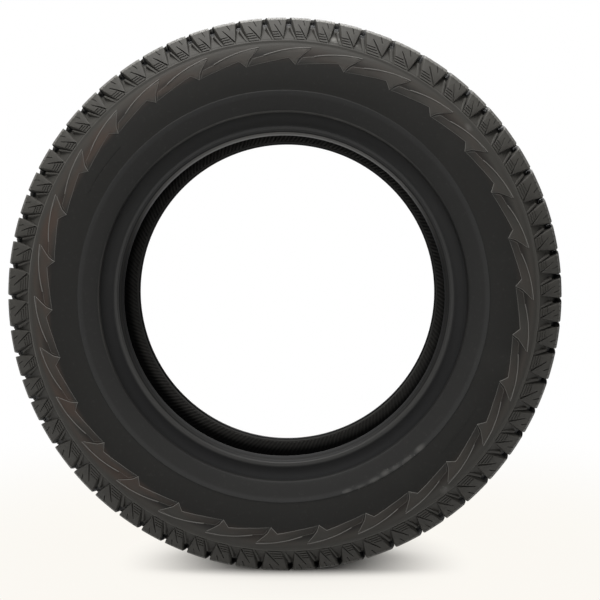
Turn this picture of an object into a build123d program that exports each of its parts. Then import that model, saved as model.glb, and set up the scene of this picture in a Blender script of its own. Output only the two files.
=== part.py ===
"""Car tyre, unmounted: one moulded piece with a directional tread of varied pitch.

The wheel's centre is the origin, the wheel's axis is Y and Z is up. Lengths are in millimetres.
The tread turns with its V pointing forwards, which is counter-clockwise seen from the -Y side.
"""
import os
from math import sqrt

from build123d import *

# Overall sizes
outer_diameter = 707.0
section_width = 221.0
tread_width = 172.0
tread_arc_radius = 390.0
crown_thickness = 17.5
sidewall_thickness = 8.0
contact_flat_length = 64.0

# Beads, which seat on the rim
bead_land_diameter = 402.6
bead_land_width = 5.0
bead_seat_diameter = 405.6
bead_heel_spacing = 172.0
bead_base_width = 19.0
toe_height = 3.7
toe_chamfer = 1.5
heel_radius = 6.5

# Rim flange seat and the rib above it
flange_contact_height = 13.2
flange_curve_radius = 11.5
rim_rib_lip = 3.0

# Sidewall, measured outwards from the bead seat
widest_height = 70.0
bead_filler_height = 33.0
bead_filler_thickness = 11.5
liner_crown_width = 100.0

# Smooth panel sunk in each sidewall, with a saw-tooth outer edge
panel_depth = 0.8
panel_inner_height = 50.0
panel_tooth_foot_height = 80.5
panel_tooth_tip_height = 89.0
panel_teeth = 30
panel_step_angle = 1.5
panel_first_angle = 2.9

# Shoulder, measured inwards from the tread edge
shoulder_foot_drop = 28.6
shoulder_foot_width = 207.0
shoulder_ledge = 1.2

# Grooves that run round the tread
tread_depth = 8.5
centre_groove_width = 5.0
side_groove_width = 6.0
side_groove_offset = 40.0

# Grooves that run across the tread, one to each pitch and side
groove_floor_gap = 2.0
groove_edge_width = 6.4
groove_side_width = 5.0
groove_centre_width = 3.5
groove_edge_setback = 1.7
groove_side_sweep = 1.0
groove_centre_sweep = 22.0
flank_recess_lead = 5.2
flank_recess_trail = 13.1
flank_recess_depth = 6.8

# Pitch lengths round the tread: short, medium and long, mixed so that the tread runs quietly
pitch_share = {"S": 0.90, "M": 1.00, "L": 1.17}
pitch_sequence = (
    "SSMLLLMSSSMLMMSS"
    "SMLLMMLLMMLLSSML"
    "MMSSMMLLLMSSSMLL"
    "MSSSMSSSMMMSSMMS"
)
first_groove_angle = 0.9

# Radii and half widths that follow from the sizes above
crown_radius = outer_diameter / 2
land_radius = bead_land_diameter / 2
seat_radius = bead_seat_diameter / 2
tread_half = tread_width / 2
heel_half = bead_heel_spacing / 2
toe_half = heel_half - bead_base_width
widest_half = section_width / 2
foot_half = shoulder_foot_width / 2


def tread_radius(offset):
    """Radius of the tread surface at an axial distance from the middle of the tread."""
    return crown_radius - tread_arc_radius + sqrt(tread_arc_radius**2 - offset**2)


edge_radius = tread_radius(tread_half)
foot_radius = edge_radius - shoulder_foot_drop
flange_top = seat_radius + flange_contact_height
rib_radius = flange_top + flange_curve_radius
rib_half = heel_half + flange_curve_radius + rim_rib_lip
widest_radius = seat_radius + widest_height
liner_half = widest_half - sidewall_thickness
liner_arc_radius = tread_arc_radius - crown_thickness


def liner_crown_edge():
    """End of the liner's crown curve, and the direction in which that curve leaves for the crown."""
    offset = liner_crown_width / 2
    rise = sqrt(liner_arc_radius**2 - offset**2)
    edge = Vector(offset, crown_radius - tread_arc_radius + rise)
    return edge, Vector(-rise, offset).normalized()


def arc_joint(start, start_direction, end, end_direction):
    """Point where two arcs meet smoothly, one leaving the start and one arriving at the end."""
    gap = end - start
    across = gap.dot(start_direction + end_direction)
    turn = 2 * (1 - start_direction.dot(end_direction))
    reach = (sqrt(across**2 + turn * gap.dot(gap)) - across) / turn
    return (start + end + (start_direction - end_direction) * reach) / 2


def corner_at(face, place):
    """The corner of a flat face nearest to a place in its plane."""
    return face.vertices().sort_by_distance((*place, 0))[0]


def section_half():
    """Half of the tyre's cross section, drawn with X as the axial and Y as the radial direction."""
    crown_top = (0, crown_radius)
    tread_edge = (tread_half, edge_radius)
    flank_foot = (foot_half - shoulder_ledge, foot_radius)
    ledge = (foot_half, foot_radius)
    widest = (widest_half, widest_radius)
    rib = (rib_half, rib_radius)
    flange_end = (heel_half + flange_curve_radius, rib_radius)
    flange_start = (heel_half, flange_top)
    heel = (heel_half, seat_radius)
    land_end = (toe_half + bead_land_width, land_radius)
    toe = (toe_half, land_radius)
    toe_top = (toe_half, land_radius + toe_height)
    filler = (rib_half - bead_filler_thickness, seat_radius + bead_filler_height)
    liner_widest = Vector(liner_half, widest_radius)
    liner_edge, crownwards = liner_crown_edge()
    liner_shoulder = arc_joint(liner_widest, Vector(0, 1), liner_edge, crownwards)
    liner_top = (0, crown_radius - crown_thickness)
    outline = [
        TangentArc(crown_top, tread_edge, tangent=(1, 0)),
        Line(tread_edge, flank_foot),
        Line(flank_foot, ledge),
        TangentArc(widest, ledge, tangent=(0, 1)),
        TangentArc(widest, rib, tangent=(0, -1)),
        Line(rib, flange_end),
        TangentArc(flange_start, flange_end, tangent=(0, 1)),
        Line(flange_start, heel),
        Line(heel, land_end),
        Line(land_end, toe),
        Line(toe, toe_top),
        Line(toe_top, filler),
        TangentArc(liner_widest, filler, tangent=(0, -1)),
        TangentArc(liner_widest, liner_shoulder, tangent=(0, 1)),
        TangentArc(liner_edge, liner_shoulder, tangent=-crownwards),
        TangentArc(liner_top, liner_edge, tangent=(1, 0)),
        Line(liner_top, crown_top),
    ]
    face = make_face(outline)
    face = fillet(corner_at(face, heel), heel_radius)
    face = chamfer(corner_at(face, toe), toe_chamfer)
    return face


def ring_groove(offset, width):
    """Section of a groove that runs round the tread at an axial distance from its middle."""
    floor = tread_radius(offset) - tread_depth
    return Pos(offset, floor) * Rectangle(width, 2 * tread_depth, align=(Align.CENTER, Align.MIN))


def ring(section):
    """Turn a cross section about the wheel's axis."""
    return revolve(Plane.YZ * section, Axis.Y)


def cross_groove():
    """Cutter for one groove across the +Y half of the tread, at the top of the tyre."""
    cover = 2 * tread_depth
    half_edge = groove_edge_width / 2
    half_side = groove_side_width / 2
    half_centre = groove_centre_width / 2
    plan = make_face(Polyline(
        (-groove_centre_sweep - half_centre, 0),
        (-groove_side_sweep - half_side, side_groove_offset),
        (groove_edge_setback - half_edge, tread_half),
        (-flank_recess_lead, foot_half),
        (flank_recess_trail, foot_half),
        (groove_edge_setback + half_edge, tread_half),
        (-groove_side_sweep + half_side, side_groove_offset),
        (-groove_centre_sweep + half_centre, 0),
        close=True,
    ))
    edge_floor = edge_radius - tread_depth
    flank_slope = (foot_half - shoulder_ledge - tread_half) / shoulder_foot_drop
    exit_radius = foot_radius + groove_floor_gap
    exit_half = foot_half - shoulder_ledge - flank_slope * groove_floor_gap
    recess_half = tread_half + flank_slope * tread_depth - flank_recess_depth
    profile = make_face(Polyline(
        (0, crown_radius - tread_depth),
        (side_groove_offset, tread_radius(side_groove_offset) - tread_depth),
        (recess_half, edge_floor),
        (exit_half + shoulder_ledge, exit_radius - shoulder_ledge / 2),
        (foot_half + cover, exit_radius),
        (foot_half + cover, crown_radius + cover),
        (0, crown_radius + cover),
        close=True,
    ))
    reach = groove_centre_sweep + groove_centre_width + flank_recess_trail
    return extrude(plan, crown_radius + cover) & extrude(Plane.YZ * profile, reach, both=True)


def pitch_angles():
    """Start angle and length of each pitch round the tread, in degrees."""
    unit = 360 / sum(pitch_share[letter] for letter in pitch_sequence)
    start = first_groove_angle
    for letter in pitch_sequence:
        length = unit * pitch_share[letter]
        yield start, length
        start += length


def tread_cutters():
    """All the cross grooves: both halves of the tread, the +Y half set back by half a pitch."""
    far_groove = cross_groove()
    near_groove = mirror(far_groove, Plane.XZ)
    cutters = []
    for start, length in pitch_angles():
        cutters.append(Rot(0, start, 0) * near_groove)
        cutters.append(Rot(0, start + length / 2, 0) * far_groove)
    return cutters


def carcass():
    """The turned body with the grooves that run round the tread."""
    half = section_half()
    half -= ring_groove(0, centre_groove_width)
    half -= ring_groove(side_groove_offset, side_groove_width)
    section = half + mirror(half, Plane.YZ)
    return ring(section)


def panel_layer():
    """Section of all that lies outside one panel's floor, from the rim rib to the shoulder foot."""
    floor_top = (foot_half - panel_depth, foot_radius)
    floor_widest = (widest_half - panel_depth, widest_radius)
    floor_end = (rib_half - panel_depth, rib_radius)
    clear_top = (section_width, foot_radius)
    clear_end = (section_width, rib_radius)
    return make_face([
        TangentArc(floor_widest, floor_top, tangent=(0, 1)),
        TangentArc(floor_widest, floor_end, tangent=(0, -1)),
        Line(floor_end, clear_end),
        Line(clear_end, clear_top),
        Line(clear_top, floor_top),
    ])


def panel_outline():
    """The panel seen along the axis: a ring whose outer edge is a saw of long ramps and short steps."""
    tooth_angle = 360 / panel_teeth
    foot = Vector(0, seat_radius + panel_tooth_foot_height)
    tip = Vector(0, seat_radius + panel_tooth_tip_height)
    corners = []
    for tooth in range(panel_teeth):
        start = panel_first_angle + tooth * tooth_angle
        corners.append(foot.rotate(Axis.Z, -start))
        corners.append(tip.rotate(Axis.Z, panel_step_angle - tooth_angle - start))
    return make_face(Polyline(*corners, close=True)) - Circle(seat_radius + panel_inner_height)


def panel_cutter():
    """What is taken off both sidewalls to sink their panels."""
    near_layer = panel_layer()
    layers = ring(near_layer) + ring(mirror(near_layer, Plane.YZ))
    return layers & extrude(Plane.XZ * panel_outline(), section_width, both=True)


def contact_flat():
    """Block that takes off the small flat on which the tyre stands."""
    flat_radius = sqrt(crown_radius**2 - (contact_flat_length / 2) ** 2)
    return Pos(0, 0, -flat_radius) * Box(
        contact_flat_length * 2, section_width, crown_thickness, align=(Align.CENTER, Align.CENTER, Align.MAX)
    )


def tyre():
    body = carcass() - panel_cutter()
    return body.cut(*tread_cutters(), contact_flat())


os.makedirs("parts", exist_ok=True)
export_step(tyre(), "parts/tyre.step")
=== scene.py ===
"""Looks of an unmounted car tyre: carcass, tread blocks, sidewall scales and liner ridges, on a plain stage.

Lengths are in metres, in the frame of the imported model: the wheel's centre is the origin, the wheel's
axis is Y and Z is up. Angles round the wheel run clockwise from the top, seen from the -Y side.
A tread block is modelled at the top of the tyre for a middling pitch, with X along the tread, Y as the
distance from the middle of the tread and Z as the radius. It is then laid round the tread, pitch by pitch.
"""
from math import atan2, cos, pi, radians, sin, sqrt, tan

import bmesh
import bpy
import numpy as np
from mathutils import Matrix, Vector


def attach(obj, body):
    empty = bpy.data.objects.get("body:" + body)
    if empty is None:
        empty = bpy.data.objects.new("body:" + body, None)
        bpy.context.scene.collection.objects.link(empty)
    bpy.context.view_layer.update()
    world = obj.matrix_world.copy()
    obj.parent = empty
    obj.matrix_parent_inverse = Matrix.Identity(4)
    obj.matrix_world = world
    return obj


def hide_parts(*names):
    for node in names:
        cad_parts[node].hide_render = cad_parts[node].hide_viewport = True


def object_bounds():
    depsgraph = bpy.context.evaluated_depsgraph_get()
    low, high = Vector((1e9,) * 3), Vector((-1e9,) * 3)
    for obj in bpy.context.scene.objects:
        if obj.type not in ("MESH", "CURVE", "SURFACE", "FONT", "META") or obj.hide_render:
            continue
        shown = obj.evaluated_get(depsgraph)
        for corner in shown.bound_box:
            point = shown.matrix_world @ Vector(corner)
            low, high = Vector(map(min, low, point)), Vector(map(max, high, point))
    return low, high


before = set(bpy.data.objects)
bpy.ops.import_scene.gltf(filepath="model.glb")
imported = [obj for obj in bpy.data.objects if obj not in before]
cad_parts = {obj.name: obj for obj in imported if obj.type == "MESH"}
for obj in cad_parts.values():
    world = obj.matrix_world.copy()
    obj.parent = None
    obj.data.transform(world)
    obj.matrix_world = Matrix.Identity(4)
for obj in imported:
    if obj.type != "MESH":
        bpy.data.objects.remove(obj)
cad_low, cad_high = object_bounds()

bl_info = {
    "name": "Car tyre",
    "version": (1, 0, 0),
    "blender": (4, 5, 0),
    "location": "View3D > Sidebar > Tyre",
    "description": "Models and dresses an unmounted car tyre with a directional winter tread",
    "category": "Add Mesh",
}

mm = 0.001

# Body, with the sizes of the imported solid
crown_radius = 353.5 * mm
tread_arc = 390 * mm
tread_half = 86 * mm
crown_thickness = 17.5 * mm
widest_half = 110.5 * mm
widest_radius = 272.8 * mm
liner_half = 102.5 * mm
liner_crown_half = 50 * mm
contact_floor = cad_low.z

# Beads and rim rib
seat_radius = 202.8 * mm
land_radius = 201.3 * mm
land_end_half = 72 * mm
heel_half = 86 * mm
heel_round = 6.5 * mm
toe_half = 67 * mm
toe_chamfer = 1.5 * mm
toe_top_radius = 205 * mm
flange_curve = 11.5 * mm
flange_start_radius = 216 * mm
rib_radius = 227.5 * mm
rib_half = 100.5 * mm
filler_half = 89 * mm
filler_radius = 235.8 * mm

# Shoulder and flank
foot_half = 103.5 * mm
foot_radius = 315.3 * mm
flank_foot_half = 102.3 * mm
block_foot_radius = 314.4 * mm
recess_depth = 6.8 * mm
flank_root_half = 84 * mm

# Sidewall ornament
tooth_foot_radius = 283.3 * mm
scale_reference_radius = 297 * mm
arrow_reference_radius = 271 * mm
arrow_angles = (radians(121), radians(300))

# Tread grooves
centre_groove_half = 2.5 * mm
side_groove_inner = 37 * mm
side_groove_outer = 43 * mm
groove_stations = (0, 40 * mm, tread_half, foot_half)
groove_leads = (-20.25 * mm, 0.5 * mm, 4.9 * mm, 13.1 * mm)
groove_trails = (-23.75 * mm, -4.5 * mm, -1.5 * mm, -5.2 * mm)

# Pitches round the tread: short, medium and long
pitch_share = {"S": 0.90, "M": 1.00, "L": 1.17}
pitch_sequence = (
    "SSMLLLMSSSMLMMSS"
    "SMLLMMLLMMLLSSML"
    "MMSSMMLLLMSSSMLL"
    "MSSSMSSSMMMSSMMS"
)
first_groove_angle = radians(0.9)
pitch_unit = 2 * pi / sum(pitch_share[letter] for letter in pitch_sequence)
pitch_length = pitch_unit * crown_radius

# Depth to which blocks, scales and ridges are sunk into the carcass
root_depth = 1.5 * mm

# Distance below which two places count as one
touch = 0.01 * mm

# Angle between two faces above which their edge is shaded sharp
shading_angle = radians(28)


# Settings

def length_setting(name, description, default):
    """A setting for a length."""
    return bpy.props.FloatProperty(name=name, description=description, default=default, unit="LENGTH")


def angle_setting(name, description, default):
    """A setting for an angle."""
    return bpy.props.FloatProperty(name=name, description=description, default=default, subtype="ANGLE")


def power_setting(name, description, default):
    """A setting for a lamp's power."""
    return bpy.props.FloatProperty(name=name, description=description, default=default, unit="POWER")


def colour_setting(name, description, default):
    """A setting for a colour."""
    return bpy.props.FloatVectorProperty(
        name=name, description=description, default=default, subtype="COLOR", size=3)


class TreadSettings(bpy.types.PropertyGroup):
    """Depths and edges of the tread blocks."""

    groove_depth: length_setting("Groove depth", "Depth of the grooves below the tread", 8.5 * mm)
    edge_round: length_setting("Edge round", "Rounding of the blocks' edges", 0.5 * mm)
    sipe_width: length_setting("Sipe width", "Width of the fine slits in the blocks", 0.7 * mm)
    sipe_depth: length_setting("Sipe depth", "Depth of the fine slits in the blocks", 6 * mm)
    slash_depth: length_setting(
        "Slash depth", "Depth of the slashes cut in the shoulder blocks' flanks", 2.4 * mm)
    nick_depth: length_setting(
        "Nick depth", "Depth of the nicks in the tread edge, below the flank", 4 * mm)
    rung_depth: length_setting(
        "Rung depth", "Depth of the short level slots at the foot of the flanks", 1.2 * mm)


class SidewallSettings(bpy.types.PropertyGroup):
    """Ornament and marks of the sidewalls, and the ridges inside."""

    panel_depth: length_setting("Panel depth", "Depth of the smooth panel below the sidewall", 0.8 * mm)
    scale_count: bpy.props.IntProperty(
        name="Scales", description="Overlapping scales round each sidewall",
        default=30, min=3)
    scale_height: length_setting(
        "Scale height", "Height of a scale's raised end above the panel", 0.75 * mm)
    ridge_height: length_setting(
        "Ridge height", "Height of the thin ridge along a scale's upper edge", 1.25 * mm)
    first_scale_angle: angle_setting(
        "First scale", "Angle of the first scale, clockwise from the top", radians(2.9))
    liner_ridge_count: bpy.props.IntProperty(
        name="Liner ridges", description="Slanted vent ridges round the inside of each bead",
        default=240, min=3)
    liner_ridge_height: length_setting(
        "Liner ridge height", "Height of the vent ridges on the liner", 0.6 * mm)


class RubberSettings(bpy.types.PropertyGroup):
    """Colours of the rubber, in linear light."""

    rubber: colour_setting("Rubber", "Colour of the plain moulded rubber", (0.0212, 0.0208, 0.0198))
    panel: colour_setting("Panel", "Colour of the fine-textured panel", (0.0182, 0.0177, 0.0162))
    # The bead colour also paints shade on the lower part of the seat
    bead: colour_setting(
        "Bead", "Colour of the curve that the rim's flange presses on", (0.0118, 0.0118, 0.0120))
    # Painted shade: a colour darker than the rubber, put at the toes and down in the grooves
    shade: colour_setting(
        "Shade", "Colour of the darkest rubber, at the toes and in the grooves", (0.0055, 0.0056, 0.0058))
    # The polish colour also paints light on the flange curve, away from the bottom
    polish: colour_setting(
        "Polish", "Colour of rubbed edges and of the bead seats", (0.0300, 0.0298, 0.0290))
    # The bloom colour also paints a highlight line on the bead seat
    bloom: colour_setting("Bloom", "Grey bloom on the ornament and shoulders", (0.055, 0.0525, 0.047))
    edge: colour_setting(
        "Edge", "Colour of the ledge under the shoulder blocks and the flanks' tops", (0.074, 0.071, 0.064))
    flank: colour_setting("Flank", "Grey bloom on the shoulder blocks", (0.064, 0.0612, 0.0552))
    brown: colour_setting("Brown", "Brown stain on the ornament", (0.068, 0.048, 0.038))
    # The dust colour also paints light: on the top of the seat, on the liner near the toe and, with real
    # dust, on the shoulder tops
    dust: colour_setting("Dust", "Pale dust and scuffs", (0.21, 0.204, 0.190))


class StageSettings(bpy.types.PropertyGroup):
    """Floor, light and camera."""

    floor: colour_setting("Floor", "Colour of the floor near the tyre", (0.87, 0.845, 0.805))
    glow: colour_setting("Glow", "Colour of the floor where the shadow has faded out", (0.965, 0.94, 0.89))
    bounce: bpy.props.FloatProperty(
        name="Bounce", description="Brightness of the floor as the tyre sees it",
        default=0.6, subtype="FACTOR", min=0, max=1)
    ambient: bpy.props.FloatProperty(
        name="Ambient", description="Strength of the even light from all round",
        default=0.03)
    key_power: power_setting("Key light", "Power of the soft light above the tyre", 59)
    fill_power: power_setting("Fill light", "Power of the soft light beside the camera", 14)
    back_power: power_setting("Back light", "Power of the light above and behind the tyre", 50)
    camera_place: bpy.props.FloatVectorProperty(
        name="Camera", description="Place of the camera",
        default=(0.045, -1.597, 0.066), subtype="TRANSLATION", size=3)
    look_left: angle_setting("Look left", "Angle by which the camera looks to the left", radians(0.936))
    look_down: angle_setting("Look down", "Angle by which the camera looks down", radians(2.63))
    lens: bpy.props.FloatProperty(
        name="Lens", description="Focal length of the camera in millimetres",
        default=73.1)


# Curves of the section, as pairs of axial distance and radius

def tread_radius(offset):
    """Radius of the tread at an axial distance from its middle."""
    return crown_radius - tread_arc + sqrt(tread_arc**2 - offset**2)


def bulge(rise, drop):
    """Radius of an arc that drops to the side by this much over this rise from its top."""
    return (rise**2 + drop**2) / (2 * drop)


def side_half(radius):
    """Axial distance of the plain sidewall at a radius or an array of radii."""
    rise = np.asarray(radius) - widest_radius
    upper = bulge(foot_radius - widest_radius, widest_half - foot_half)
    lower = bulge(widest_radius - rib_radius, widest_half - rib_half)
    arc = np.where(rise > 0, upper, lower)
    return widest_half - arc + np.sqrt(arc**2 - rise**2)


def arc_points(start, direction, end, steps):
    """Points of the arc that leaves start in a direction and ends at end, without start itself."""
    start = Vector(start)
    ahead = Vector(direction).normalized()
    gap = Vector(end) - start
    side = Vector((-ahead.y, ahead.x))
    if gap.dot(side) < 0:
        side.negate()
    radius = gap.length_squared / (2 * gap.dot(side))
    sweep = 2 * atan2(gap.dot(side), gap.dot(ahead))
    turns = [sweep * step / steps for step in range(1, steps + 1)]
    return [start + radius * (ahead * sin(turn) + side * (1 - cos(turn))) for turn in turns]


def round_corners(points, steps=3):
    """Points of a line whose third numbers, where given, are the radii that round its corners."""
    line = []
    for index, (across, up, *radius) in enumerate(points):
        corner = Vector((across, up))
        if not radius:
            line.append(corner)
            continue
        before = (Vector(points[index - 1][:2]) - corner).normalized()
        after = (Vector(points[index + 1][:2]) - corner).normalized()
        reach = radius[0] / tan(before.angle(after) / 2)
        line.append(corner + before * reach)
        line += arc_points(corner + before * reach, -before, corner + after * reach, steps)
    return line


# Modelling steps

def deselect_all():
    """Leave edit mode and select nothing."""
    if bpy.context.object and bpy.context.object.mode != "OBJECT":
        bpy.ops.object.mode_set(mode="OBJECT")
    bpy.ops.object.select_all(action="DESELECT")


def pick(*pieces):
    """Select these objects alone and make the first one active."""
    deselect_all()
    for piece in pieces:
        piece.select_set(True)
    bpy.context.view_layer.objects.active = pieces[0]


def draw_line(name, points):
    """A new object in edit mode with a line drawn through the points by extruding a corner."""
    deselect_all()
    points = [Vector(point) for point in points]
    bpy.ops.mesh.primitive_plane_add(size=mm, location=points[0])
    piece = bpy.context.object
    piece.name = name
    bpy.ops.object.transform_apply()
    bpy.ops.object.mode_set(mode="EDIT")
    bpy.ops.mesh.select_mode(type="VERT")
    bpy.ops.mesh.merge(type="CENTER")
    for here, there in zip(points, points[1:]):
        bpy.ops.mesh.extrude_region_move(TRANSFORM_OT_translate={"value": there - here})
    return piece


def face_outwards():
    """Turn all the faces of the piece in edit mode outwards."""
    bpy.ops.mesh.select_all(action="SELECT")
    bpy.ops.mesh.normals_make_consistent(inside=False)


def draw_prism(name, points, depth):
    """A new closed solid in edit mode: a flat outline drawn through the points and extruded."""
    piece = draw_line(name, points)
    bpy.ops.mesh.select_all(action="SELECT")
    bpy.ops.mesh.edge_face_add()
    bpy.ops.mesh.extrude_region_move(TRANSFORM_OT_translate={"value": Vector(depth)})
    face_outwards()
    return piece


def draw_plate(name, outline, floor, height):
    """A new closed solid in edit mode: a flat outline at a floor, raised by a height."""
    return draw_prism(name, [(*point, floor) for point in outline], (0, 0, height))


def cut_away(place, normal):
    """Cut the solid in edit mode by a plane and close it, without what lies on the normal's side."""
    bpy.ops.mesh.select_all(action="SELECT")
    bpy.ops.mesh.bisect(plane_co=place, plane_no=Vector(normal).normalized(), threshold=touch,
                        use_fill=True, clear_outer=True)


def score(axis, places):
    """Add edges to the solid in edit mode at places along an axis, so that it can bend there."""
    for place in places:
        bpy.ops.mesh.select_all(action="SELECT")
        bpy.ops.mesh.bisect(plane_co=Vector(axis) * place, plane_no=axis, threshold=touch)


def round_edges(width, test, segments=2):
    """Bevel the sharp edges of the solid in edit mode whose middle passes a test."""
    mesh = bmesh.from_edit_mesh(bpy.context.object.data)
    sharp = radians(20)
    bpy.ops.mesh.select_mode(type="EDGE")
    for edge in mesh.edges:
        middle = (edge.verts[0].co + edge.verts[1].co) / 2
        edge.select_set(edge.calc_face_angle(0) > sharp and test(middle))
    mesh.select_flush_mode()
    bmesh.update_edit_mesh(bpy.context.object.data)
    bpy.ops.mesh.bevel(offset=width, segments=segments, affect="EDGES", clamp_overlap=True)


def carve(block, cutters):
    """Cut these solids out of a block and throw them away."""
    pick(block)
    for cutter in cutters:
        step = block.modifiers.new(cutter.name, "BOOLEAN")
        step.operation = "DIFFERENCE"
        step.solver = "EXACT"
        step.object = cutter
        bpy.ops.object.modifier_apply(modifier=step.name)
        bpy.data.objects.remove(cutter)
    return block


def join(name, pieces):
    """One object from several."""
    pick(*pieces)
    if len(pieces) > 1:
        bpy.ops.object.join()
    pieces[0].name = name
    return pieces[0]


def points_of(piece):
    """The places of a piece's corners, as rows of an array."""
    places = np.empty(len(piece.data.vertices) * 3)
    piece.data.vertices.foreach_get("co", places)
    return places.reshape(-1, 3)


def paint(piece, name, values):
    """Store a value at each corner of a piece, for its finish to read."""
    layer = piece.data.attributes.new(name, "FLOAT", "POINT")
    spread = np.broadcast_to(values, len(piece.data.vertices))
    layer.data.foreach_set("value", spread.astype(np.float32))


def lay(name, pattern, placings):
    """One piece from copies of a pattern, each moved by its own placing. The pattern is thrown away."""
    deselect_all()
    flat = points_of(pattern)
    copies = []
    for place in placings:
        copy = pattern.copy()
        copy.data = pattern.data.copy()
        bpy.context.collection.objects.link(copy)
        copy.data.vertices.foreach_set("co", place(flat).ravel())
        copy.data.update()
        copies.append(copy)
    bpy.data.objects.remove(pattern)
    piece = join(name, copies)
    bpy.ops.object.mode_set(mode="EDIT")
    face_outwards()
    bpy.ops.object.mode_set(mode="OBJECT")
    return piece


def both_sides(name):
    """Names of a pair of like pieces, each with the direction of its side along Y."""
    return (name + "_near", -1), (name + "_far", 1)


def finish_piece(piece):
    """Shade a piece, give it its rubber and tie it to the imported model."""
    pick(piece)
    bpy.ops.object.shade_smooth_by_angle(angle=shading_angle)
    piece.data.materials.clear()
    piece.data.materials.append(rubber_material())
    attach(piece, "root")
    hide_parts("tyre")
    return piece


# Carcass

def carcass_outline(tread, sidewall):
    """Half of the body's section without its blocks, from the tread's middle to the liner's middle."""
    floor_steps = 10
    edge_floor = tread_radius(tread_half) - tread.groove_depth
    flank_slope = (flank_foot_half - tread_half) / (tread_radius(tread_half) - foot_radius)
    recess_half = tread_half + flank_slope * tread.groove_depth - recess_depth
    line = []
    for step in range(floor_steps):
        offset = recess_half * step / floor_steps
        line.append(Vector((offset, tread_radius(offset) - tread.groove_depth)))
    line += round_corners([
        (recess_half - 6 * mm, edge_floor + 0.6 * mm),
        (recess_half, edge_floor - 3 * mm, 1 * mm),
        (100.0 * mm, 316.4 * mm, 0.6 * mm),
        (100.6 * mm, 314.9 * mm, 0.4 * mm),
        (103.2 * mm, 314.5 * mm, 0.6 * mm),
        (103.7 * mm, 312.9 * mm),
    ])
    line += upper_side(sidewall)
    line += lower_side(sidewall)
    line += bead()
    line += liner()
    return [Vector((0, point.x, point.y)) for point in line]


def in_mm(*points):
    """Points given in millimetres, in metres."""
    return [tuple(value * mm for value in point) for point in points]


def side_points(rings):
    """Points on the sidewall from pairs of a radius and a depth below its plain curve."""
    return [Vector((float(side_half(radius)) - depth, radius)) for radius, depth in rings]


def upper_side(sidewall):
    """From the ledge under the blocks in to the widest place: a channel, then the panel's ground."""
    ground_radii = (307.8, 305.5, 302, 298, 294, 290, 286, 282, 278, 273)
    channel = in_mm((312.2, 0.8), (311.4, 1.1), (310.4, 1.2), (309.2, 1.1))
    return side_points(channel + [(radius * mm, sidewall.panel_depth) for radius in ground_radii])


def lower_side(sidewall):
    """From the widest place in to the rim rib: the panel, its step and the plain ring inside it."""
    ground = sidewall.panel_depth
    panel = [(radius * mm, ground) for radius in (268, 263, 258, 253.6)]
    step = [(253.1 * mm, ground * 0.9), (252.4 * mm, ground * 0.1)]
    plain_ring = in_mm(
        (251.8, 0), (250, 0.14), (248.2, 0.34), (246.6, 0.45), (244, 0.45), (240, 0.4),
        (236, 0.3), (232, 0.1), (229.4, 0), (228.4, 0.15), (227.8, 0.55))
    return side_points(panel + step + plain_ring)


def bead():
    """From the rim rib round the flange curve, the heel and the seat to the toe."""
    flange_end = Vector((heel_half + flange_curve, rib_radius))
    flange_start = Vector((heel_half, flange_start_radius))
    curve = arc_points(flange_start, (0, 1), flange_end, 10)[::-1]
    ring = 0.35 * mm
    line = [Vector((rib_half - 1.1 * mm, rib_radius - 0.1 * mm))] + curve
    line += round_corners([
        (heel_half, 216 * mm),
        (heel_half, 212 * mm),
        (heel_half + ring, 211.2 * mm, 0.4 * mm),
        (heel_half + ring, 207.6 * mm, 0.4 * mm),
        (heel_half - 0.5 * mm, 206.7 * mm, 0.4 * mm),
        (heel_half - 0.9 * mm, 205.4 * mm, 0.4 * mm),
        (heel_half - 2.2 * mm, 204.0 * mm, 0.8 * mm),
        (heel_half - heel_round, seat_radius - 0.65 * mm, 2 * mm),
        (land_end_half, land_radius, 2 * mm),
        (toe_half + toe_chamfer, land_radius, 0.5 * mm),
        (toe_half, land_radius + toe_chamfer, 0.5 * mm),
        (toe_half, toe_top_radius, 0.8 * mm),
        (filler_half, filler_radius),
    ])[:-1]
    return line


def liner():
    """From the bead filler round the inside of the sidewall to the middle of the crown."""
    filler = Vector((filler_half, filler_radius))
    widest = Vector((liner_half, widest_radius))
    liner_arc = tread_arc - crown_thickness
    rise = sqrt(liner_arc**2 - liner_crown_half**2)
    edge = Vector((liner_crown_half, crown_radius - tread_arc + rise))
    crown = Vector((0, crown_radius - crown_thickness))
    line = [filler]
    line += arc_points(widest, (0, -1), filler, 8)[::-1][1:]
    line += [widest]
    line += arc_points(widest, (0, 1), edge, 14)
    line += arc_points(crown, (1, 0), edge, 6)[::-1][1:]
    line += [crown]
    return line


def model_carcass(tread, sidewall):
    """The turned body: half its section spun round the axis, then mirrored."""
    spin_steps = 320
    outline = carcass_outline(tread, sidewall)
    piece = draw_line("carcass", outline)
    bpy.ops.mesh.select_all(action="SELECT")
    bpy.ops.mesh.spin(steps=spin_steps, angle=2 * pi, center=(0, 0, 0), axis=(0, 1, 0))
    bpy.ops.mesh.select_all(action="SELECT")
    bpy.ops.mesh.remove_doubles(threshold=touch)
    bpy.ops.object.mode_set(mode="OBJECT")
    halves = piece.modifiers.new("halves", "MIRROR")
    halves.use_axis = (False, True, False)
    halves.merge_threshold = touch
    bpy.ops.object.modifier_apply(modifier=halves.name)
    bpy.ops.object.mode_set(mode="EDIT")
    face_outwards()
    bpy.ops.object.mode_set(mode="OBJECT")
    paint(piece, "liner", on_liner(points_of(piece), outline))
    return piece


def on_liner(places, outline):
    """1 for the places that come from the inside of the section's outline, from the toe on, else 0."""
    toe_points = 5
    section = np.array([point.yz for point in outline], dtype=np.float32)
    across = np.abs(places[:, 1])
    radius = np.hypot(places[:, 0], places[:, 2])
    gaps = np.column_stack((across, radius)).astype(np.float32)[:, None] - section
    nearest = np.argmin((gaps**2).sum(2), axis=1)
    return nearest >= len(outline) - len(liner()) - toe_points


# Tread blocks

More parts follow.
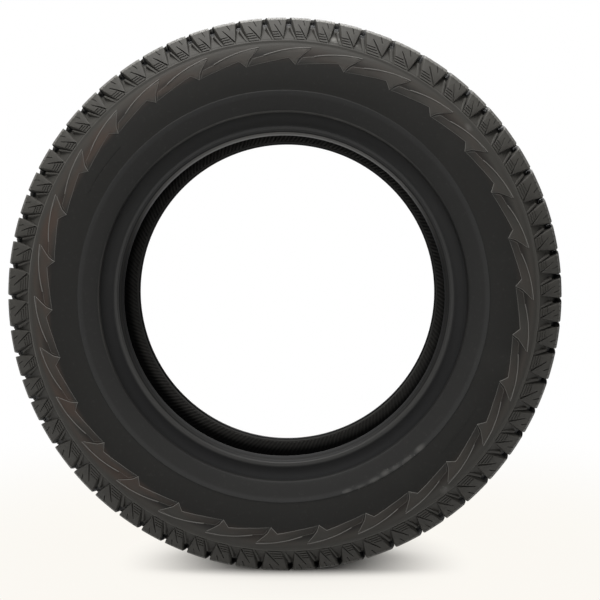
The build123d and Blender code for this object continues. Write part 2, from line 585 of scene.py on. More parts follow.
def groove_wall(walls, offset):
    """Place along the tread of a groove's wall at an axial distance or an array of them."""
    return np.interp(offset, groove_stations, walls)


def pitches():
    """Start angle and length of each pitch round the tread."""
    start = first_groove_angle
    for letter in pitch_sequence:
        length = pitch_unit * pitch_share[letter]
        yield start, length
        start += length


def wrap_pitch(start, length, side):
    """A placing that lays a block between the grooves of one pitch, on the +Y or -Y half of the tread."""

    def place(flat):
        along, offset, radius = flat.T
        lead = groove_wall(groove_leads, offset)
        trail = groove_wall(groove_trails, offset)
        share = (along - lead) / (pitch_length + trail - lead)
        from_angle = start + np.arcsin(lead / radius)
        to_angle = start + length + np.arcsin(trail / radius)
        angle = from_angle + share * (to_angle - from_angle)
        height = np.maximum(radius * np.cos(angle), contact_floor)
        return np.column_stack((radius * np.sin(angle), side * offset, height))

    return place


def half_tread(side):
    """Placings of all the blocks on one half of the tread. The +Y half is set back by half a pitch."""
    setback = 0.5 if side > 0 else 0
    return [wrap_pitch(start + setback * length, length, side) for start, length in pitches()]


def cut_walls(first, last):
    """Cut the block in edit mode along the walls of its two grooves, from one station to another."""
    for station in range(first, last):
        near, far = groove_stations[station:station + 2]
        lead_near, lead_far = groove_leads[station:station + 2]
        trail_near, trail_far = groove_trails[station:station + 2]
        run = far - near
        cut_away((lead_near, near, 0), (-run, lead_far - lead_near, 0))
        cut_away((pitch_length + trail_near, near, 0), (run, trail_near - trail_far, 0))


def cut_tread(low, high, steps):
    """Cut the block in edit mode to the tread's curve between two axial distances."""
    offsets = np.linspace(low, high, steps + 1)
    for near, far in zip(offsets, offsets[1:]):
        fall = tread_radius(near) - tread_radius(far)
        cut_away((0, near, tread_radius(near)), (0, fall, far - near))


def cut_shoulder():
    """Cut the rounded shoulder of the block in edit mode, from the tread over to the flank."""
    round_start = 74 * mm
    start = Vector((0, round_start, tread_radius(round_start)))
    bend = Vector((0, 82.5 * mm, 343.9 * mm))
    end = on_flank(0, 3.3 * mm)
    for near, far in ((start, bend), (bend, end)):
        cut_away(near, (0, near.z - far.z, far.y - near.y))


def zigzag(share, low, high, swing, period, width):
    """Plan outline of a zigzag slit that keeps to a share of the way across the block."""
    count = round((high - low) / period * 2)
    spine = []
    for step in range(count + 1):
        offset = low + (high - low) * step / count
        lead = float(groove_wall(groove_leads, offset))
        trail = float(groove_wall(groove_trails, offset))
        along = lead + share * (pitch_length + trail - lead)
        spine.append(Vector((along + (swing if step % 2 else -swing), offset)))
    right = [(point.x + width / 2, point.y) for point in spine]
    left = [(point.x - width / 2, point.y) for point in spine]
    return right + left[::-1]


def sipe(share, low, high, tread, swing=1.0 * mm, period=7 * mm):
    """Cutter for a zigzag slit in the top of a block."""
    floor = tread_radius(high) - tread.sipe_depth
    outline = zigzag(share, low, high, swing, period, tread.sipe_width)
    return draw_plate("sipe", outline, floor, 2 * tread.sipe_depth)


def model_centre_block(tread):
    """One block between the middle groove and the side groove, with three zigzag sipes."""
    low, high = centre_groove_half, side_groove_inner
    floor = tread_radius(high) - tread.groove_depth - root_depth
    reach = 30 * mm
    outline = [(-reach, low), (pitch_length + reach, low), (pitch_length + reach, high), (-reach, high)]
    block = draw_plate("centre_block", outline, floor, 20 * mm)
    cut_walls(0, 1)
    cut_tread(low, high, 3)
    block_floor = floor + root_depth * 2
    round_edges(tread.edge_round, lambda middle: middle.z > block_floor)
    lead = float(groove_wall(groove_leads, 0))
    score((1, 0, 0), [lead + pitch_length * 1.5 * step / 8 for step in range(1, 8)])
    cutters = [sipe(share, low - mm, high + mm, tread) for share in (0.25, 0.5, 0.75)]
    return carve(block, cutters)


# Flank of the shoulder blocks, measured along the tread and down from the tread edge

flank_edge = Vector((0, tread_half, tread_radius(tread_half)))
flank_down = Vector((0, flank_foot_half - tread_half, foot_radius - tread_radius(tread_half))).normalized()
flank_out = Vector((0, -flank_down.z, flank_down.y))


def on_flank(along, down, out=0):
    """A place on a shoulder block's flank."""
    return flank_edge + Vector((along, 0, 0)) + flank_down * down + flank_out * out


def flank_cutter(name, outline, depth):
    """Cutter with an outline on the flank, sunk to a depth."""
    clearance = 2 * mm
    floor = [on_flank(*point, -depth) for point in outline]
    return draw_prism(name, floor, flank_out * (depth + clearance))


def stroke(start, end, start_width, end_width):
    """Outline of a straight slash whose width changes from its start to its end."""
    start, end = Vector(start), Vector(end)
    ahead = (end - start).normalized()
    side = Vector((-ahead.y, ahead.x))
    return [
        start + side * start_width / 2,
        end + side * end_width / 2,
        end - side * end_width / 2,
        start - side * start_width / 2,
    ]


def flank_cutters(tread):
    """The slashes and level slots in a shoulder block's flank, and the nicks in its top edge."""
    slash_top, slash_foot = Vector((14.6 * mm, 9.8 * mm)), Vector((28.8 * mm, 31.4 * mm))
    slash = stroke(slash_top, slash_foot, 1.0 * mm, 2.8 * mm)
    short_slash = stroke((21.0 * mm, 2 * mm), (25.0 * mm, 11.5 * mm), 0.9 * mm, 1.1 * mm)
    cutters = [
        flank_cutter("slash", slash, tread.slash_depth),
        flank_cutter("short_slash", short_slash, tread.slash_depth),
    ]
    for along in (9 * mm, 15.5 * mm, 27 * mm):
        nick = stroke((along, -4 * mm), (along + 0.8 * mm, 4.4 * mm), 0.8 * mm, 0.6 * mm)
        cutters.append(flank_cutter("nick", nick, tread.nick_depth))
    for down in (21.6 * mm, 25.3 * mm, 28.9 * mm, 33.2 * mm):
        share = (down - slash_top.y) / (slash_foot.y - slash_top.y)
        right = slash_top.lerp(slash_foot, share).x - 2.6 * mm
        slot = stroke((8 * mm, down), (right, down), 1.6 * mm, 1.6 * mm)
        cutters.append(flank_cutter("rung", slot, tread.rung_depth))
    return cutters


def shoulder_section(tread):
    """Section of a shoulder block: tread, flank and foot, and the root sunk into the carcass."""
    low = side_groove_outer
    edge_floor = tread_radius(tread_half) - tread.groove_depth
    top = crown_radius + 2 * mm
    foot_down = (tread_radius(tread_half) - block_foot_radius) / -flank_down.z
    foot = on_flank(0, foot_down)
    foot_root = on_flank(0, foot_down + 0.4 * mm, -4.2 * mm)
    return [
        (0, low, tread_radius(low) - tread.groove_depth - root_depth),
        (0, low, top),
        (0, tread_half, top),
        flank_edge,
        foot,
        foot_root,
        (0, flank_root_half - root_depth, edge_floor - 3 * root_depth),
    ]


def model_shoulder_block(tread):
    """One block from the side groove over the tread edge and down the flank."""
    reach = 20 * mm
    section = [Vector(point) - Vector((reach, 0, 0)) for point in shoulder_section(tread)]
    block = draw_prism("shoulder_block", section, (pitch_length + 2 * reach, 0, 0))
    cut_tread(side_groove_outer, tread_half, 4)
    cut_shoulder()
    cut_walls(1, 3)
    edge_floor = tread_radius(tread_half) - tread.groove_depth
    recess = Vector((0, flank_root_half, edge_floor))
    recess_out = Vector((0, 0.72, 0.69))
    sipe_ends = ((0.27, 79 * mm), (0.77, 79 * mm), (0.52, 84 * mm))

    def shows(middle):
        on_tread = middle.y < flank_root_half and middle.z > tread_radius(middle.y) - tread.groove_depth
        return on_tread or (middle - recess).dot(recess_out) > 0.4 * mm

    round_edges(tread.edge_round, shows)
    score((1, 0, 0), [pitch_length * (step / 6) + 1 * mm for step in range(1, 6)])
    cutters = [sipe(share, side_groove_outer - mm, end, tread) for share, end in sipe_ends]
    return carve(block, cutters + flank_cutters(tread))


def model_flank_blade():
    """The leaning blade that stands beside a shoulder block in the recess of its groove."""
    top_down, foot_down = 13 * mm, 33 * mm
    outline = [
        (2.0 * mm, 13.4 * mm),
        (4.4 * mm, top_down),
        (5.2 * mm, 15.6 * mm),
        (7.9 * mm, 23.8 * mm),
        (10.5 * mm, foot_down),
        (8.0 * mm, 33.2 * mm),
        (5.1 * mm, 24.5 * mm),
        (2.7 * mm, 16.3 * mm),
    ]
    depth = 9 * mm
    lean = Vector((3.4 * mm, 0, 0))
    base = [on_flank(*point, -depth) - lean for point in outline]
    blade = draw_prism("flank_blade", base, flank_out * depth + lean)
    top = on_flank(0, top_down, -1.4 * mm)
    foot = on_flank(0, foot_down, -0.3 * mm)
    cut_away(top, (foot - top).cross(Vector((-1, 0, 0))))
    round_edges(0.3 * mm, lambda middle: (middle - top).dot(flank_out) > -2 * mm, segments=1)
    deselect_all()
    return blade


# Sidewall ornament

def wrap_side(start, side, sidewall, reference_radius):
    """A placing that lays a flat shape on the panel: X round the wheel, Y outwards, Z as height."""

    def place(flat):
        along, outward, height = flat.T
        radius = tooth_foot_radius + outward
        angle = start + along / reference_radius
        offset = side_half(radius) - sidewall.panel_depth + height
        return np.column_stack((radius * np.sin(angle), side * offset, radius * np.cos(angle)))

    return place


def model_scale(sidewall):
    """One long scale: its low end lies under its neighbour, and its raised end has a slanted cliff."""
    cliff_foot = 63 * mm
    shadow_to_bloom_length = 55 * mm
    outline = [
        (1.5 * mm, 0.2 * mm),
        (28 * mm, 3.6 * mm),
        (54.4 * mm, 8.3 * mm),
        (cliff_foot, 0),
        (67.0 * mm, 8.0 * mm),
        (80.0 * mm, 21.0 * mm),
        (62.0 * mm, 20.6 * mm),
        (43.0 * mm, 17.2 * mm),
        (24.0 * mm, 12.3 * mm),
        (9.0 * mm, 10.0 * mm),
    ]
    scale = draw_plate("scale", outline, -root_depth, 4 * mm)
    low_end = 0.12 * mm
    slope = (sidewall.scale_height - low_end) / cliff_foot
    cut_away((0, 0, low_end), (-slope, 0, 1))
    round_edges(0.7 * mm, lambda middle: middle.z > 0)
    score((1, 0, 0), [4 * mm * step for step in range(1, 20)])
    score((0, 1, 0), (5 * mm, 10 * mm, 15 * mm))
    deselect_all()
    along, outward, height = points_of(scale).T
    paint(scale, "worn", height < low_end + slope * along - 0.05 * mm)
    # Painted shadow: the low end under the neighbour's cliff gets little bloom and stays dark, and the bloom
    # grows towards the raised end
    paint(scale, "bloom", 0.15 + 0.75 * np.clip(along / shadow_to_bloom_length, 0, 1))
    return scale


def model_scale_ridge(sidewall):
    """The thin bent ridge along a scale's upper edge."""
    steps = 14
    start, end = Vector((23.5 * mm, 12.2 * mm)), Vector((80.5 * mm, 22.6 * mm))
    sag = 1.5 * mm
    half_width = 0.55 * mm
    spine = []
    for step in range(steps + 1):
        share = step / steps
        spine.append(start.lerp(end, share) + Vector((0, 4 * sag * share * (1 - share))))
    upper = [(point.x, point.y + half_width) for point in spine]
    lower = [(point.x, point.y - half_width) for point in spine]
    ridge = draw_plate("scale_ridge", upper + lower[::-1], -root_depth, root_depth + sidewall.ridge_height)
    round_edges(0.35 * mm, lambda middle: middle.z > 0)
    deselect_all()
    paint(ridge, "worn", 1)
    return ridge


def scale_placings(side, sidewall):
    """Placings of the scales round one sidewall."""
    turn = 2 * pi / sidewall.scale_count
    return [
        wrap_side(sidewall.first_scale_angle + turn * index, side, sidewall, scale_reference_radius)
        for index in range(sidewall.scale_count)
    ]


# Liner ridges

def liner_place(distance):
    """Places on the liner at distances along it from the bead's toe, and its inward normal there."""
    toe = np.array((toe_half, toe_top_radius))
    filler = np.array((filler_half, filler_radius))
    ahead = (filler - toe) / np.linalg.norm(filler - toe)
    on_line = toe + np.outer(distance, ahead)
    inward = np.array((-ahead[1], ahead[0]))
    return on_line, inward


def wrap_liner(start, side):
    """A placing that lays a flat shape on the liner: X round the wheel, Y along the section, Z as height."""
    slant = tan(radians(28))

    def place(flat):
        across, distance, height = flat.T
        on_line, inward = liner_place(distance)
        offset, radius = (on_line + np.outer(height, inward)).T
        angle = start + (across + slant * distance) / radius
        return np.column_stack((radius * np.sin(angle), side * offset, radius * np.cos(angle)))

    return place


def model_liner_ridge(sidewall):
    """One slanted vent ridge on the straight part of the liner above a bead."""
    length = 36 * mm
    half = 1.3 * mm
    crest = 0.5 * mm
    height = sidewall.liner_ridge_height
    section = [
        (-half, mm, -height),
        (-half, mm, 0),
        (-crest, mm, height),
        (crest, mm, height),
        (half, mm, 0),
        (half, mm, -height),
    ]
    ridge = draw_prism("liner_ridge", section, (0, length, 0))
    score((0, 1, 0), [length * step / 6 for step in range(1, 6)])
    deselect_all()
    paint(ridge, "liner", 1)
    distance = points_of(ridge)[:, 1]
    # Painted light: the ridge paler near the toe, where light reaches into the tyre, fading out over 20 mm
    paint(ridge, "worn", 0.6 * np.clip(1 - distance / (20 * mm), 0, 1))
    return ridge


# Rotation arrows

def model_arrow():
    """A thin curved arrow on the panel: a line with a head at its counter-clockwise end."""
    outward = -12 * mm
    height = 0.35 * mm
    length, half_width = 62 * mm, 0.6 * mm
    shaft = [(0, -half_width), (length, -half_width), (length, half_width), (0, half_width)]
    head = [(-9 * mm, 0), (1 * mm, -2.6 * mm), (1 * mm, 2.6 * mm)]
    pieces = []
    for outline in (shaft, head):
        placed = [(x, y + outward) for x, y in outline]
        piece = draw_plate("arrow", placed, -root_depth, root_depth + height)
        score((1, 0, 0), [5 * mm * step for step in range(1, 12)])
        deselect_all()
        pieces.append(piece)
    return join("arrow", pieces)


# Rubber finish

class Field:
    """A value over the surface. Arithmetic on it adds Math nodes to its finish."""

    def __init__(self, finish, socket):
        self.finish = finish
        self.socket = socket

    def __add__(self, other):
        return self.finish.math("ADD", self, other)

    def __sub__(self, other):
        return self.finish.math("SUBTRACT", self, other)

    def __rsub__(self, other):
        return self.finish.math("SUBTRACT", other, self)

    def __mul__(self, other):
        return self.finish.math("MULTIPLY", self, other)

    def __truediv__(self, other):
        return self.finish.math("DIVIDE", self, other)

    __radd__ = __add__
    __rmul__ = __mul__


class Finish:
    """A material's nodes."""

    def __init__(self, name):
        self.material = bpy.data.materials.new(name)
        self.material.use_nodes = True
        self.tree = self.material.node_tree
        self.shader = self.tree.nodes["Principled BSDF"]

    def link(self, value, socket):
        """Feed a socket from a field, or set it to a plain value."""
        if isinstance(value, Field):
            self.tree.links.new(value.socket, socket)
        else:
            socket.default_value = value

    def node(self, kind, settings=None, inputs=None, output=0):
        """A new node with its settings made first, then its inputs, as a field of one output."""
        node = self.tree.nodes.new(kind)
        for name, value in (settings or {}).items():
            setattr(node, name, value)
        for name, value in (inputs or {}).items():
            self.link(value, node.inputs[name])
        return Field(self, node.outputs[output])

    def math(self, operation, first, second=0.0):
        """A Math node."""
        return self.node("ShaderNodeMath", {"operation": operation}, {0: first, 1: second})

    def mix(self, share, first, second):
        """A colour between two colours."""
        return self.node("ShaderNodeMix", {"data_type": "RGBA"}, {0: share, 6: first, 7: second}, 2)

    def smooth(self, value, low, high):
        """0 below low, 1 above high and a smooth rise between."""
        return self.node("ShaderNodeMapRange", {"interpolation_type": "SMOOTHSTEP"},
                         {"Value": value, "From Min": low, "From Max": high})

    def between(self, value, rise, fall):
        """1 between a rise and a fall, each given as the pair of values over which it fades."""
        return self.smooth(value, *rise) * (1 - self.smooth(value, *fall))

    def stored(self, name):
        """A value painted on the piece, or 0 where none is."""
        return self.node("ShaderNodeAttribute", {"attribute_name": name}, output="Fac")

    def bands(self, value, stops):
        """A colour that changes from stop to stop of a value."""
        low, high = stops[0][0], stops[-1][0]
        ramp = self.node("ShaderNodeValToRGB", None, {0: (value - low) / (high - low)})
        elements = ramp.socket.node.color_ramp.elements
        elements[0].color = colour(stops[0][1])
        elements[1].color = colour(stops[-1][1])
        for place, shade in stops[1:-1]:
            elements.new((place - low) / (high - low)).color = colour(shade)
        return ramp

    def noise(self, place, scale, detail=3.0, roughness=0.55):
        """Noise at a place, from 0 to 1."""
        return self.node("ShaderNodeTexNoise", None,
                         {"Vector": place, "Scale": scale, "Detail": detail, "Roughness": roughness})

    def set(self, **values):
        """Set or feed the shader's sockets, named with _ for a space."""
        for name, value in values.items():
            self.link(value, self.shader.inputs[name.replace("_", " ")])


def colour(values):
    """A colour with its alpha."""
    return (*values, 1.0)


# Radii over which one kind of rubber gives way to the next
seat_end = (203.8 * mm, 204.4 * mm)
heel_start = (205.2 * mm, 206.2 * mm)
heel_end = (210.4 * mm, 213.4 * mm)
# Painted light on the liner fades out between these radii
liner_light_end = (210 * mm, 221 * mm)
bead_end = (211 * mm, 214 * mm)
curve_end = (226.5 * mm, 227.5 * mm)
rib_start = (226.8 * mm, 227.4 * mm)
rib_end = (228.4 * mm, 229.6 * mm)
speck_start = (227 * mm, 229 * mm)
speck_end = (300 * mm, 312 * mm)
panel_start = (252.6 * mm, 253.2 * mm)
panel_end = (292 * mm, 300 * mm)
stain_start = (284 * mm, 292 * mm)
stain_end = (303 * mm, 312 * mm)
ledge_start = (313 * mm, 313.5 * mm)
ledge_end = (314.2 * mm, 314.7 * mm)
groove_foot = (318 * mm, 322 * mm)
shoulder_top = (340.7 * mm, 341.7 * mm)

# Axial distances over which it does so
# The painted shade at the toes fades out over this distance
toe_shade_end = (68.5 * mm, 70.5 * mm)
seat_start = (69 * mm, 71 * mm)
shoulder_start = (70 * mm, 80 * mm)
groove_end = (78 * mm, 84 * mm)


class Surface:
    """Fields over the tyre from which the rubber's colour and roughness are made."""

    def __init__(self, finish):
        self.finish = finish
        self.place = finish.node("ShaderNodeTexCoord", output="Object")
        axes = finish.node("ShaderNodeSeparateXYZ", None, {0: self.place})
        across, axial, up = (Field(finish, axes.socket.node.outputs[index]) for index in range(3))
        self.radius = finish.math("SQRT", across * across + up * up)
        self.side = finish.math("ABSOLUTE", axial)
        self.round_x, self.round_z = across / self.radius, up / self.radius
        self.low = finish.smooth(self.round_z, 0.6, -0.7)
        self.under = finish.smooth(self.round_z, 0.7, 0.1)
        self.bead = 1 - finish.smooth(self.radius, *bead_end)
        self.curve = finish.between(self.radius, bead_end, curve_end)
        self.seat = (1 - finish.smooth(self.radius, *seat_end)) * finish.smooth(self.side, *seat_start)
        self.patches = finish.noise(self.place, 9.0, 4.0)
        self.cloud = finish.smooth(finish.noise(self.streaks(5.0, 60.0), 1.0, 5.0), 0.3, 0.7)

    def streaks(self, turns, rings):
        """Places stretched along the circumference, for streaks that follow the mould."""
        return self.finish.node("ShaderNodeCombineXYZ", None,
                                {0: self.round_x * turns, 1: self.radius * rings, 2: self.round_z * turns})


# Colours of the sidewall's rings at radii in millimetres, from the bead seat out to the flank
ring_colours = (
    # The bloom from 203.0 to 203.9 mm on the bead seat is a painted highlight line
    (202.4, "polish"), (203.0, "bloom"), (203.9, "bloom"), (204.4, "bead"), (205.2, "bead"),
    (206.2, "polish"), (210.4, "polish"), (213.4, "bead"), (226.8, "bead"), (227.4, "rubber"),
    (245.5, "rubber"), (248.5, "polish"), (252.6, "polish"), (253.2, "panel"), (297.0, "panel"),
    (304.0, "bloom"), (313.0, "bloom"), (313.8, "edge"), (314.6, "edge"), (315.2, "bloom"),
    (317.0, "flank"), (328.0, "flank"), (336.0, "edge"),
)


def side_rings(surface, rubber):
    """Colour of the sidewall by radius: rubbed bead and edges, plain rings, panel and bloom, and a painted
    highlight line on the seat.
    """
    stops = [(radius * mm, getattr(rubber, name)) for radius, name in ring_colours]
    return surface.finish.bands(surface.radius, stops)


# Rubbed places on the photographed side: angle in degrees, then radius, axial distance and size
# in millimetres, stretch round the wheel and strength
wear_marks = (
    (10.9, 321.6, -94.5, 8, 1.0, 1.6),
    (12.3, 322.5, -97.0, 3.5, 1.0, 0.9),
    (16.2, 320.5, -96.0, 3.5, 1.0, 0.9),
    (47.3, 306.8, -106.1, 6, 1.5, 0.45),
    (139.9, 309.6, -105.3, 6, 1.8, 0.55),
    (137.8, 249.6, -108.0, 6, 2.0, 0.5),
    (142.5, 250.4, -108.1, 4.5, 2.8, 0.35),
    (146.5, 250.0, -108.1, 4.5, 2.4, 0.3),
    (149.8, 249.2, -107.9, 6, 1.6, 0.45),
    (153.4, 250.4, -108.2, 5, 2.4, 0.4),
    (157.8, 250.8, -108.2, 3.5, 3.0, 0.25),
    (161.7, 250.6, -108.2, 4.5, 2.2, 0.4),
)


def wear(surface, specks, degrees, radius, axial, size, stretch, strength):
    """Share of pale dust on one rubbed place, broken up by specks."""
    finish = surface.finish
    angle = radians(degrees)
    middle = (radius * mm * sin(angle), axial * mm, radius * mm * cos(angle))
    onward = (cos(angle), 0, -sin(angle))
    offset = finish.node("ShaderNodeVectorMath", {"operation": "SUBTRACT"}, {0: surface.place, 1: middle})
    along = finish.node("ShaderNodeVectorMath", {"operation": "DOT_PRODUCT"}, {0: offset, 1: onward}, 1)
    reach = finish.node("ShaderNodeVectorMath", {"operation": "LENGTH"}, {0: offset}, 1)
    distance = finish.math("SQRT", reach * reach - along * along * (1 - 1 / stretch**2))
    edge = finish.smooth(distance / (size * mm) - 0.6 * specks, 0.1, 0.9)
    return strength * (1 - edge) * (0.6 + 0.4 * specks)


def groove_shade_share(surface):
    """Share of painted shade down in the grooves of the tread, which also leaves them bare of bloom and
    dust.
    """
    finish, radius, side = surface.finish, surface.radius, surface.side
    tread = crown_radius - tread_arc + finish.math("SQRT", tread_arc**2 - side * side)
    groove = finish.smooth(tread - radius, 1 * mm, 5 * mm) * (1 - finish.smooth(side, *groove_end))
    return groove * finish.smooth(radius, *groove_foot)


def rubbed_and_lit_share(surface):
    """Share of pale dust on rubbed edges: the rim rib, the ledge and the heel, and painted light on the top
    of the seat.
    """
    finish, radius = surface.finish, surface.radius
    top = finish.smooth(surface.round_z, 0.4, 1.0)
    beside = finish.smooth(0 - surface.round_x, 0.85, 1.0)
    rib = finish.between(radius, rib_start, rib_end)
    ledge = finish.between(radius, ledge_start, ledge_end)
    heel = finish.between(radius, heel_start, heel_end)
    # The seat's share, paler towards the top, is painted light
    rubbed = rib * (0.5 + 0.5 * surface.cloud) * (0.35 * top + 0.15 * beside) + surface.seat * top * 0.45
    return rubbed + ledge * surface.cloud * (0.15 + 0.35 * beside) + heel * surface.low * 0.09


def dust_share(surface):
    """Share of pale dust in scuffs, patches and specks, and on the rubbed places."""
    finish = surface.finish
    scuffs = finish.smooth(finish.noise(surface.streaks(22.0, 420.0), 1.0, 6.0, 0.7), 0.62, 0.82)
    specks = finish.smooth(finish.noise(surface.place, 240.0, 4.0, 0.7), 0.55, 0.75)
    speckled = finish.between(surface.radius, speck_start, speck_end)
    dust = scuffs * 0.10 * (1 - surface.bead) + finish.smooth(surface.patches, 0.55, 0.8) * 0.03
    dust = dust + specks * speckled * 0.05
    for mark in wear_marks:
        dust = dust + wear(surface, specks, *mark)
    return dust


def rubber_tint(surface, rubber):
    """Colour of the rubber under its dust: the sidewall's rings, with layers of other colours over them,
    painted light and shade among them.
    """
    finish, radius, side = surface.finish, surface.radius, surface.side
    left = finish.smooth(0 - surface.round_x, 0.1, 0.9)
    stain = finish.between(radius, stain_start, stain_end) * surface.cloud * (0.25 + 0.6 * left)
    shoulder = finish.smooth(side, *shoulder_start) * finish.smooth(radius, *shoulder_top)
    toe = 1 - finish.smooth(side, *toe_shade_end)
    liner_light = (1 - finish.smooth(radius, *liner_light_end)) * (0.2 + 0.25 * surface.low)
    layers = (
        # Bloom on the scales, held back at their low ends as painted shadow
        (finish.stored("bloom"), colour(rubber.bloom)),
        (stain, colour(rubber.brown)),
        # Pale dust on the shoulder tops, partly a painted reflection of light grazing them
        (shoulder * 0.9, colour(rubber.dust)),
        # Painted shade down in the grooves
        (groove_shade_share(surface), colour(rubber.shade)),
        # Painted shade at the toes
        (toe * surface.bead, colour(rubber.shade)),
        # Painted light: the flange curve paler except towards the bottom
        (surface.curve * (1 - surface.low) * 0.7, colour(rubber.polish)),
        # Painted shade: the seat darker on the lower part of the tyre
        (surface.seat * surface.under * 0.8, colour(rubber.bead)),
        # Pale dust on rubbed edges, and painted light on the top of the seat
        (rubbed_and_lit_share(surface), colour(rubber.dust)),
        # Liner paler near the toe and towards the bottom: painted light
        (finish.stored("liner"), finish.mix(liner_light, colour(rubber.bead), colour(rubber.dust))),
        # Wear on the scales' edges and ridges, and painted light on the liner ridges near the toe
        (finish.stored("worn") * 0.75, colour(rubber.dust)),
    )
    tint = side_rings(surface, rubber)
    for share, shade in layers:
        tint = finish.mix(share, tint, shade)
    return tint


def rubber_finish(rubber):
    """Moulded rubber: rubbed beads, a fine-textured panel, bloom on ornament and shoulders, dust, and
    painted light and shade.
    """
    finish = Finish("moulded_rubber")
    surface = Surface(finish)
    dust = dust_share(surface)
    tint = finish.mix(dust, rubber_tint(surface, rubber), colour(rubber.dust))
    panel = finish.between(surface.radius, panel_start, panel_end)
    roughness = 0.56 + 0.12 * panel + 0.2 * surface.curve - 0.14 * surface.bead
    roughness = roughness + 0.4 * surface.seat * surface.under
    roughness = roughness + 0.08 * (surface.patches - 0.5) + 0.2 * dust
    grain = finish.noise(surface.place, 900.0, 2.0)
    bump = finish.node("ShaderNodeBump", None,
                       {"Strength": 0.25, "Distance": 0.2 * mm, "Height": grain + 0.8 * surface.cloud})
    finish.set(Base_Color=tint, Roughness=roughness, Normal=bump, Specular_IOR_Level=0.2)
    return finish.material


def rubber_material():
    """The rubber, made once."""
    settings = bpy.context.scene.tyre_rubber
    return bpy.data.materials.get("moulded_rubber") or rubber_finish(settings)


# Stage

# Where the floor's shadow is kept, a little to the right of the tyre's middle and behind it
shadow_middle = (12 * mm, 10 * mm, 0)

# Distances over which the shadow and the floor's glow fade, and the shadow in front of the tyre
shadow_fade = (0.05, 0.24)
glow_fade = (0.25, 1.2)
front_fade = (40 * mm, 90 * mm)
floor_size = 12

# Lamps: name, place, place that it points at, size and the setting of its power
lamps = (
    ("key", (-0.25, -0.6, 1.9), (0, 0, 0.2), 1.9, "key_power"),
    ("fill", (-0.1, -2.7, 0.5), (0, 0, 0), 1.4, "fill_power"),
    ("back", (0, 2.2, 2.0), (0, 0, 0), 1.6, "back_power"),
)


def white_where_seen(finish, settings):
    """Floor that keeps the shadow near the tyre, less of it in front, and fades to the white background."""
    place = finish.node("ShaderNodeTexCoord", output="Object")
    offset = finish.node("ShaderNodeVectorMath", {"operation": "SUBTRACT"}, {0: place, 1: shadow_middle})
    distance = finish.node("ShaderNodeVectorMath", {"operation": "LENGTH"}, {0: offset}, 1)
    onward = finish.node("ShaderNodeSeparateXYZ", None, {0: place}, 1)
    ahead = finish.smooth(0 - onward, *front_fade)
    far = 1 - (1 - finish.smooth(distance, *shadow_fade)) * (1 - 0.8 * ahead)
    away = finish.smooth(distance, *glow_fade)
    seen = finish.node("ShaderNodeLightPath", output="Is Camera Ray")
    glow = finish.mix(away, colour(settings.glow), (1, 1, 1, 1))
    white = finish.node("ShaderNodeEmission", None, {"Color": glow, "Strength": 1.0})
    bounce = colour([settings.bounce] * 3)
    finish.set(Base_Color=finish.mix(seen, bounce, colour(settings.floor)), Roughness=0.6)
    floor = Field(finish, finish.shader.outputs[0])
    mixed = finish.node("ShaderNodeMixShader", None, {0: far * seen, 1: floor, 2: white})
    output = finish.tree.nodes["Material Output"]
    finish.link(mixed, output.inputs["Surface"])
    return finish.material


def make_floor(settings):
    """A wide pale floor under the tyre."""
    deselect_all()
    bpy.ops.mesh.primitive_plane_add(size=floor_size)
    floor = bpy.context.object
    floor.name = "floor"
    floor.location.z = contact_floor
    floor.data.materials.append(white_where_seen(Finish("floor"), settings))


def make_world(settings):
    """Even light from all round, and a white background where the camera looks."""
    world = bpy.data.worlds.new("studio")
    bpy.context.scene.world = world
    world.use_nodes = True
    nodes, links = world.node_tree.nodes, world.node_tree.links
    background = nodes["Background"]
    background.inputs["Color"].default_value = (1, 1, 1, 1)
    path = nodes.new("ShaderNodeLightPath")
    shown = nodes.new("ShaderNodeMix")
    shown.inputs[2].default_value = settings.ambient
    shown.inputs[3].default_value = 1.0
    links.new(path.outputs["Is Camera Ray"], shown.inputs[0])
    links.new(shown.outputs[0], background.inputs["Strength"])


def make_lamp(name, place, target, size, power):
    """A soft square lamp that points at a target."""
    deselect_all()
    bpy.ops.object.light_add(type="AREA", location=place)
    lamp = bpy.context.object
    lamp.name = name
    lamp.data.size = size
    lamp.data.energy = power
    lamp.rotation_euler = (Vector(target) - Vector(place)).to_track_quat("-Z", "Y").to_euler()


def make_camera(settings):
    """The photograph's viewpoint."""
    deselect_all()
    bpy.ops.object.camera_add(location=settings.camera_place)
    camera = bpy.context.object
    turn, tilt = settings.look_left, settings.look_down
    look = Vector((-sin(turn) * cos(tilt), cos(turn) * cos(tilt), -sin(tilt)))
    camera.rotation_euler = look.to_track_quat("-Z", "Y").to_euler()
    camera.data.lens = settings.lens
    bpy.context.scene.camera = camera


class TyreCarcass(bpy.types.Operator):
    """Model the turned body with its beads, sidewalls and liner"""

    bl_idname = "tyre.carcass"
    bl_label = "Carcass"

    def execute(self, context):
        piece = model_carcass(context.scene.tyre_tread, context.scene.tyre_sidewall)
        finish_piece(piece)
        return {"FINISHED"}


class TyreCentreBlocks(bpy.types.Operator):
    """Model the blocks in the middle of the tread"""

    bl_idname = "tyre.centre_blocks"
    bl_label = "Centre blocks"

    def execute(self, context):
        tread = context.scene.tyre_tread
        for name, side in both_sides("centre_blocks"):
            piece = lay(name, model_centre_block(tread), half_tread(side))
            finish_piece(piece)
        return {"FINISHED"}


class TyreShoulderBlocks(bpy.types.Operator):
    """Model the blocks at the tread's shoulders and the blades beside them"""

    bl_idname = "tyre.shoulder_blocks"
    bl_label = "Shoulder blocks"

    def execute(self, context):
        tread = context.scene.tyre_tread
        for name, side in both_sides("shoulder_blocks"):
            pattern = join("shoulder", [model_shoulder_block(tread), model_flank_blade()])
            piece = lay(name, pattern, half_tread(side))
            finish_piece(piece)
        return {"FINISHED"}


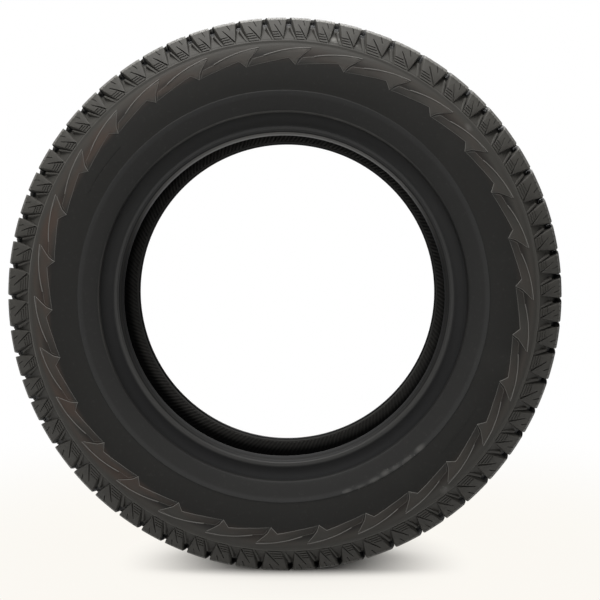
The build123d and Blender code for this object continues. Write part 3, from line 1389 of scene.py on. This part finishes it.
class TyreSidewallScales(bpy.types.Operator):
    """Model the band of scales round both sidewalls"""

    bl_idname = "tyre.sidewall_scales"
    bl_label = "Sidewall scales"

    def execute(self, context):
        sidewall = context.scene.tyre_sidewall
        for name, side in both_sides("sidewall_scales"):
            pattern = join("scale", [model_scale(sidewall), model_scale_ridge(sidewall)])
            piece = lay(name, pattern, scale_placings(side, sidewall))
            finish_piece(piece)
        return {"FINISHED"}


class TyreArrows(bpy.types.Operator):
    """Model the plain rotation arrows on both sidewalls"""

    bl_idname = "tyre.arrows"
    bl_label = "Rotation arrows"

    def execute(self, context):
        sidewall = context.scene.tyre_sidewall
        for name, side in both_sides("rotation_arrows"):
            placings = [wrap_side(start, side, sidewall, arrow_reference_radius) for start in arrow_angles]
            finish_piece(lay(name, model_arrow(), placings))
        return {"FINISHED"}


class TyreLinerRidges(bpy.types.Operator):
    """Model the slanted vent ridges inside the beads"""

    bl_idname = "tyre.liner_ridges"
    bl_label = "Liner ridges"

    def execute(self, context):
        sidewall = context.scene.tyre_sidewall
        count = sidewall.liner_ridge_count
        for name, side in both_sides("liner_ridges"):
            placings = [wrap_liner(2 * pi * index / count, side) for index in range(count)]
            finish_piece(lay(name, model_liner_ridge(sidewall), placings))
        return {"FINISHED"}


class TyreStage(bpy.types.Operator):
    """Set up the floor, the light and the camera"""

    bl_idname = "tyre.stage"
    bl_label = "Stage"

    def execute(self, context):
        settings = context.scene.tyre_stage
        context.scene.view_settings.view_transform = "Standard"
        make_floor(settings)
        make_world(settings)
        for name, place, target, size, power in lamps:
            make_lamp(name, place, target, size, getattr(settings, power))
        make_camera(settings)
        return {"FINISHED"}


class TyrePanel(bpy.types.Panel):
    """Lists the settings and the steps that make the tyre"""

    bl_idname = "VIEW3D_PT_tyre"
    bl_label = "Car tyre"
    bl_space_type = "VIEW_3D"
    bl_region_type = "UI"
    bl_category = "Tyre"

    def draw(self, context):
        layout = self.layout
        for name, group in setting_groups.items():
            box = layout.box()
            for setting in group.__annotations__:
                box.prop(getattr(context.scene, name), setting)
        for step in steps:
            layout.operator(step.bl_idname)


setting_groups = {
    "tyre_tread": TreadSettings,
    "tyre_sidewall": SidewallSettings,
    "tyre_rubber": RubberSettings,
    "tyre_stage": StageSettings,
}
steps = (
    TyreCarcass,
    TyreCentreBlocks,
    TyreShoulderBlocks,
    TyreSidewallScales,
    TyreArrows,
    TyreLinerRidges,
    TyreStage,
)


def register():
    for group in setting_groups.values():
        bpy.utils.register_class(group)
    for name, group in setting_groups.items():
        setattr(bpy.types.Scene, name, bpy.props.PointerProperty(type=group))
    for step in (*steps, TyrePanel):
        bpy.utils.register_class(step)


def unregister():
    for step in reversed((*steps, TyrePanel)):
        bpy.utils.unregister_class(step)
    for name in setting_groups:
        delattr(bpy.types.Scene, name)
    for group in setting_groups.values():
        bpy.utils.unregister_class(group)


def main():
    register()
    bpy.ops.tyre.carcass()
    bpy.ops.tyre.centre_blocks()
    bpy.ops.tyre.shoulder_blocks()
    bpy.ops.tyre.sidewall_scales()
    bpy.ops.tyre.arrows()
    bpy.ops.tyre.liner_ridges()
    bpy.ops.tyre.stage()


if __name__ == "__main__":
    main()
